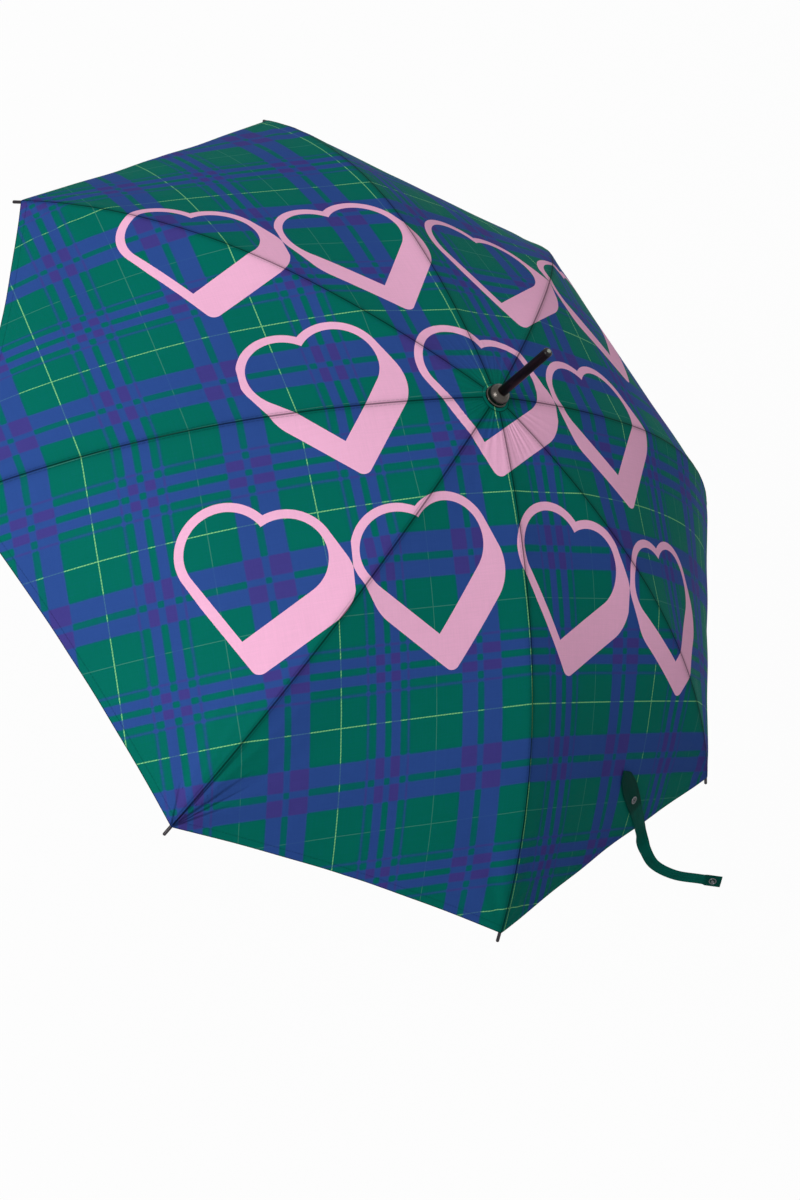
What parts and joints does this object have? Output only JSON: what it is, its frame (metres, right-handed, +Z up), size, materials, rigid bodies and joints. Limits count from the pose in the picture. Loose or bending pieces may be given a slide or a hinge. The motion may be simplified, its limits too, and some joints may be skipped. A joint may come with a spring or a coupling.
{
  "type": "stick umbrella",
  "caption": "Open stick umbrella: a panelled canopy on hinged ribs and stretchers, a runner that slides on a straight shaft, spring catches, a ferrule, a closing strap and a crook handle.",
  "frame": {"origin": "middle of the straight grip of the handle, on the shaft axis", "axes": "+Z up the shaft from the handle to the ferrule; the crook bends towards +X; rib k stands at 45 k degrees about Z"},
  "size_m": [1.0452, 1.111, 0.8805],
  "materials": {
    "canopy_cloth": "printed polyester pongee",
    "strap_cloth": "plain weave polyester",
    "rib_steel": "black nickel plated",
    "shaft_steel": "black lacquered steel tube",
    "spring_steel": "plain",
    "notch_plastic": "moulded nylon",
    "cap_metal": "dark polished nickel",
    "ferrule_gloss": "gloss black",
    "trim_metal": "polished",
    "snap_metal": "dark nickel",
    "handle_gloss": "gloss black"
  },
  "bodies": {
    "frame": {"shaft": "shaft_steel", "crown_notch": "notch_plastic", "crown_wire": "spring_steel", "crown_washer": "notch_plastic", "cap": "cap_metal", "ferrule": "ferrule_gloss", "ferrule_insert": "trim_metal", "stop_pin": "spring_steel", "handle_collar": "trim_metal", "handle": "handle_gloss"},
    "runner": {"runner_sleeve": "shaft_steel", "runner_notch": "notch_plastic", "runner_wire": "spring_steel"},
    "open_catch": {"open_catch": "spring_steel"},
    "closed_catch": {"closed_catch": "spring_steel"},
    "rib_1": {"rib_1": "rib_steel", "rib_1_fittings": "rib_steel"},
    "stretcher_1": {"stretcher_1": "rib_steel"},
    "cloth_1_before": {"panel_1_before": "canopy_cloth"},
    "cloth_1_after": {"panel_1_after": "canopy_cloth"},
    "rib_2": {"rib_2": "rib_steel", "rib_2_fittings": "rib_steel"},
    "stretcher_2": {"stretcher_2": "rib_steel"},
    "cloth_2_before": {"panel_2_before": "canopy_cloth"},
    "cloth_2_after": {"panel_2_after": "canopy_cloth"},
    "rib_3": {"rib_3": "rib_steel", "rib_3_fittings": "rib_steel"},
    "stretcher_3": {"stretcher_3": "rib_steel"},
    "cloth_3_before": {"panel_3_before": "canopy_cloth"},
    "cloth_3_after": {"panel_3_after": "canopy_cloth"},
    "rib_4": {"rib_4": "rib_steel", "rib_4_fittings": "rib_steel"},
    "stretcher_4": {"stretcher_4": "rib_steel"},
    "cloth_4_before": {"panel_4_before": "canopy_cloth"},
    "cloth_4_after": {"panel_4_after": "canopy_cloth"},
    "rib_5": {"rib_5": "rib_steel", "rib_5_fittings": "rib_steel"},
    "stretcher_5": {"stretcher_5": "rib_steel"},
    "cloth_5_before": {"panel_5_before": "canopy_cloth"},
    "cloth_5_after": {"panel_5_after": "canopy_cloth"},
    "rib_6": {"rib_6": "rib_steel", "rib_6_fittings": "rib_steel"},
    "stretcher_6": {"stretcher_6": "rib_steel"},
    "cloth_6_before": {"panel_6_before": "canopy_cloth", "strap_patch": "strap_cloth", "snap_socket": "snap_metal"},
    "cloth_6_after": {"panel_6_after": "canopy_cloth"},
    "rib_7": {"rib_7": "rib_steel", "rib_7_fittings": "rib_steel"},
    "stretcher_7": {"stretcher_7": "rib_steel"},
    "cloth_7_before": {"panel_7_before": "canopy_cloth"},
    "cloth_7_after": {"panel_7_after": "canopy_cloth"},
    "rib_8": {"rib_8": "rib_steel", "rib_8_fittings": "rib_steel"},
    "stretcher_8": {"stretcher_8": "rib_steel"},
    "cloth_8_before": {"panel_8_before": "canopy_cloth"},
    "cloth_8_after": {"panel_8_after": "canopy_cloth"},
    "strap_tail": {"strap_tail": "strap_cloth", "snap_stud": "snap_metal"}
  },
  "joints": [
    {"name": "runner_slide", "type": "slide", "parent": "frame", "child": "runner", "axis": [0, 0, -1], "range_m": [0, 0.27691], "deforming": ["panel_1_before", "panel_1_after", "panel_2_before", "panel_2_after", "panel_3_before", "panel_3_after", "panel_4_before", "panel_4_after", "panel_5_before", "panel_5_after", "panel_6_before", "panel_6_after", "panel_7_before", "panel_7_after", "panel_8_before", "panel_8_after", "open_catch", "closed_catch"]},
    {"name": "rib_1_fold", "type": "hinge", "parent": "frame", "child": "rib_1", "pos_m": [0.00672, 0.00672, 0.6651], "axis": [-0.7071, 0.7071, 0], "range_deg": [0, 63.45]},
    {"name": "stretcher_1_fold", "type": "hinge", "parent": "rib_1", "child": "stretcher_1", "pos_m": [0.16232, 0.16232, 0.61558], "axis": [0.7071, -0.7071, 0], "range_deg": [0, 106.4]},
    {"name": "cloth_1_before_fold", "type": "hinge", "parent": "rib_1", "child": "cloth_1_before", "pos_m": [0.11172, 0.24183, 0.53764], "axis": [-0.2159, -0.6149, 0.7585], "range_deg": [0, 33.11]},
    {"name": "cloth_1_after_fold", "type": "hinge", "parent": "rib_1", "child": "cloth_1_after", "pos_m": [0.24183, 0.11172, 0.53764], "axis": [0.6149, 0.2159, -0.7585], "range_deg": [0, 33.11]},
    {"name": "rib_2_fold", "type": "hinge", "parent": "frame", "child": "rib_2", "pos_m": [0, 0.0095, 0.6651], "axis": [-1, 0, 0], "range_deg": [0, 63.45]},
    {"name": "stretcher_2_fold", "type": "hinge", "parent": "rib_2", "child": "stretcher_2", "pos_m": [0, 0.22955, 0.61558], "axis": [1, 0, 0], "range_deg": [0, 106.4]},
    {"name": "cloth_2_before_fold", "type": "hinge", "parent": "rib_2", "child": "cloth_2_before", "pos_m": [-0.092, 0.25, 0.53764], "axis": [0.2821, -0.5875, 0.7585], "range_deg": [0, 33.11]},
    {"name": "cloth_2_after_fold", "type": "hinge", "parent": "rib_2", "child": "cloth_2_after", "pos_m": [0.092, 0.25, 0.53764], "axis": [0.2821, 0.5875, -0.7585], "range_deg": [0, 33.11]},
    {"name": "rib_3_fold", "type": "hinge", "parent": "frame", "child": "rib_3", "pos_m": [-0.00672, 0.00672, 0.6651], "axis": [-0.7071, -0.7071, 0], "range_deg": [0, 63.45]},
    {"name": "stretcher_3_fold", "type": "hinge", "parent": "rib_3", "child": "stretcher_3", "pos_m": [-0.16232, 0.16232, 0.61558], "axis": [0.7071, 0.7071, 0], "range_deg": [0, 106.4]},
    {"name": "cloth_3_before_fold", "type": "hinge", "parent": "rib_3", "child": "cloth_3_before", "pos_m": [-0.24183, 0.11172, 0.53764], "axis": [0.6149, -0.2159, 0.7585], "range_deg": [0, 33.11]},
    {"name": "cloth_3_after_fold", "type": "hinge", "parent": "rib_3", "child": "cloth_3_after", "pos_m": [-0.11172, 0.24183, 0.53764], "axis": [-0.2159, 0.6149, -0.7585], "range_deg": [0, 33.11]},
    {"name": "rib_4_fold", "type": "hinge", "parent": "frame", "child": "rib_4", "pos_m": [-0.0095, 0, 0.6651], "axis": [0, -1, 0], "range_deg": [0, 63.45]},
    {"name": "stretcher_4_fold", "type": "hinge", "parent": "rib_4", "child": "stretcher_4", "pos_m": [-0.22955, 0, 0.61558], "axis": [0, 1, 0], "range_deg": [0, 106.4]},
    {"name": "cloth_4_before_fold", "type": "hinge", "parent": "rib_4", "child": "cloth_4_before", "pos_m": [-0.25, -0.092, 0.53764], "axis": [0.5875, 0.2821, 0.7585], "range_deg": [0, 33.11]},
    {"name": "cloth_4_after_fold", "type": "hinge", "parent": "rib_4", "child": "cloth_4_after", "pos_m": [-0.25, 0.092, 0.53764], "axis": [-0.5875, 0.2821, -0.7585], "range_deg": [0, 33.11]},
    {"name": "rib_5_fold", "type": "hinge", "parent": "frame", "child": "rib_5", "pos_m": [-0.00672, -0.00672, 0.6651], "axis": [0.7071, -0.7071, 0], "range_deg": [0, 63.45]},
    {"name": "stretcher_5_fold", "type": "hinge", "parent": "rib_5", "child": "stretcher_5", "pos_m": [-0.16232, -0.16232, 0.61558], "axis": [-0.7071, 0.7071, 0], "range_deg": [0, 106.4]},
    {"name": "cloth_5_before_fold", "type": "hinge", "parent": "rib_5", "child": "cloth_5_before", "pos_m": [-0.11172, -0.24183, 0.53764], "axis": [0.2159, 0.6149, 0.7585], "range_deg": [0, 33.11]},
    {"name": "cloth_5_after_fold", "type": "hinge", "parent": "rib_5", "child": "cloth_5_after", "pos_m": [-0.24183, -0.11172, 0.53764], "axis": [-0.6149, -0.2159, -0.7585], "range_deg": [0, 33.11]},
    {"name": "rib_6_fold", "type": "hinge", "parent": "frame", "child": "rib_6", "pos_m": [0, -0.0095, 0.6651], "axis": [1, 0, 0], "range_deg": [0, 63.45]},
    {"name": "stretcher_6_fold", "type": "hinge", "parent": "rib_6", "child": "stretcher_6", "pos_m": [0, -0.22955, 0.61558], "axis": [-1, 0, 0], "range_deg": [0, 106.4]},
    {"name": "cloth_6_before_fold", "type": "hinge", "parent": "rib_6", "child": "cloth_6_before", "pos_m": [0.092, -0.25, 0.53764], "axis": [-0.2821, 0.5875, 0.7585], "range_deg": [0, 33.11]},
    {"name": "cloth_6_after_fold", "type": "hinge", "parent": "rib_6", "child": "cloth_6_after", "pos_m": [-0.092, -0.25, 0.53764], "axis": [-0.2821, -0.5875, -0.7585], "range_deg": [0, 33.11]},
    {"name": "rib_7_fold", "type": "hinge", "parent": "frame", "child": "rib_7", "pos_m": [0.00672, -0.00672, 0.6651], "axis": [0.7071, 0.7071, 0], "range_deg": [0, 63.45]},
    {"name": "stretcher_7_fold", "type": "hinge", "parent": "rib_7", "child": "stretcher_7", "pos_m": [0.16232, -0.16232, 0.61558], "axis": [-0.7071, -0.7071, 0], "range_deg": [0, 106.4]},
    {"name": "cloth_7_before_fold", "type": "hinge", "parent": "rib_7", "child": "cloth_7_before", "pos_m": [0.24183, -0.11172, 0.53764], "axis": [-0.6149, 0.2159, 0.7585], "range_deg": [0, 33.11]},
    {"name": "cloth_7_after_fold", "type": "hinge", "parent": "rib_7", "child": "cloth_7_after", "pos_m": [0.11172, -0.24183, 0.53764], "axis": [0.2159, -0.6149, -0.7585], "range_deg": [0, 33.11]},
    {"name": "rib_8_fold", "type": "hinge", "parent": "frame", "child": "rib_8", "pos_m": [0.0095, 0, 0.6651], "axis": [0, 1, 0], "range_deg": [0, 63.45]},
    {"name": "stretcher_8_fold", "type": "hinge", "parent": "rib_8", "child": "stretcher_8", "pos_m": [0.22955, 0, 0.61558], "axis": [0, -1, 0], "range_deg": [0, 106.4]},
    {"name": "cloth_8_before_fold", "type": "hinge", "parent": "rib_8", "child": "cloth_8_before", "pos_m": [0.25, 0.092, 0.53764], "axis": [-0.5875, -0.2821, 0.7585], "range_deg": [0, 33.11]},
    {"name": "cloth_8_after_fold", "type": "hinge", "parent": "rib_8", "child": "cloth_8_after", "pos_m": [0.25, -0.092, 0.53764], "axis": [0.5875, -0.2821, -0.7585], "range_deg": [0, 33.11]},
    {"name": "open_catch_press", "type": "hinge", "parent": "frame", "child": "open_catch", "pos_m": [0.0033, 0, 0.38812], "axis": [0, -1, 0], "range_deg": [0, 6], "stiffness_Nm_per_rad": 0.4},
    {"name": "closed_catch_press", "type": "hinge", "parent": "frame", "child": "closed_catch", "pos_m": [0.0033, 0, 0.17851], "axis": [0, 1, 0], "range_deg": [0, 6], "stiffness_Nm_per_rad": 0.4},
    {"name": "strap_swing", "type": "hinge", "parent": "cloth_6_before", "child": "strap_tail", "pos_m": [-0.12976, -0.46439, 0.4298], "axis": [-0.946, 0.1364, -0.2939], "range_deg": [-30, 60]}
  ],
  "couplings": [
    {"joint": "rib_1_fold", "follows": "runner_slide", "rad_per_m": 3.9983},
    {"joint": "stretcher_1_fold", "follows": "runner_slide", "rad_per_m": 6.7056},
    {"joint": "cloth_1_before_fold", "follows": "runner_slide", "rad_per_m": 2.0862},
    {"joint": "cloth_1_after_fold", "follows": "runner_slide", "rad_per_m": 2.0862},
    {"joint": "rib_2_fold", "follows": "runner_slide", "rad_per_m": 3.9983},
    {"joint": "stretcher_2_fold", "follows": "runner_slide", "rad_per_m": 6.7056},
    {"joint": "cloth_2_before_fold", "follows": "runner_slide", "rad_per_m": 2.0862},
    {"joint": "cloth_2_after_fold", "follows": "runner_slide", "rad_per_m": 2.0862},
    {"joint": "rib_3_fold", "follows": "runner_slide", "rad_per_m": 3.9983},
    {"joint": "stretcher_3_fold", "follows": "runner_slide", "rad_per_m": 6.7056},
    {"joint": "cloth_3_before_fold", "follows": "runner_slide", "rad_per_m": 2.0862},
    {"joint": "cloth_3_after_fold", "follows": "runner_slide", "rad_per_m": 2.0862},
    {"joint": "rib_4_fold", "follows": "runner_slide", "rad_per_m": 3.9983},
    {"joint": "stretcher_4_fold", "follows": "runner_slide", "rad_per_m": 6.7056},
    {"joint": "cloth_4_before_fold", "follows": "runner_slide", "rad_per_m": 2.0862},
    {"joint": "cloth_4_after_fold", "follows": "runner_slide", "rad_per_m": 2.0862},
    {"joint": "rib_5_fold", "follows": "runner_slide", "rad_per_m": 3.9983},
    {"joint": "stretcher_5_fold", "follows": "runner_slide", "rad_per_m": 6.7056},
    {"joint": "cloth_5_before_fold", "follows": "runner_slide", "rad_per_m": 2.0862},
    {"joint": "cloth_5_after_fold", "follows": "runner_slide", "rad_per_m": 2.0862},
    {"joint": "rib_6_fold", "follows": "runner_slide", "rad_per_m": 3.9983},
    {"joint": "stretcher_6_fold", "follows": "runner_slide", "rad_per_m": 6.7056},
    {"joint": "cloth_6_before_fold", "follows": "runner_slide", "rad_per_m": 2.0862},
    {"joint": "cloth_6_after_fold", "follows": "runner_slide", "rad_per_m": 2.0862},
    {"joint": "rib_7_fold", "follows": "runner_slide", "rad_per_m": 3.9983},
    {"joint": "stretcher_7_fold", "follows": "runner_slide", "rad_per_m": 6.7056},
    {"joint": "cloth_7_before_fold", "follows": "runner_slide", "rad_per_m": 2.0862},
    {"joint": "cloth_7_after_fold", "follows": "runner_slide", "rad_per_m": 2.0862},
    {"joint": "rib_8_fold", "follows": "runner_slide", "rad_per_m": 3.9983},
    {"joint": "stretcher_8_fold", "follows": "runner_slide", "rad_per_m": 6.7056},
    {"joint": "cloth_8_before_fold", "follows": "runner_slide", "rad_per_m": 2.0862},
    {"joint": "cloth_8_after_fold", "follows": "runner_slide", "rad_per_m": 2.0862}
  ]
}
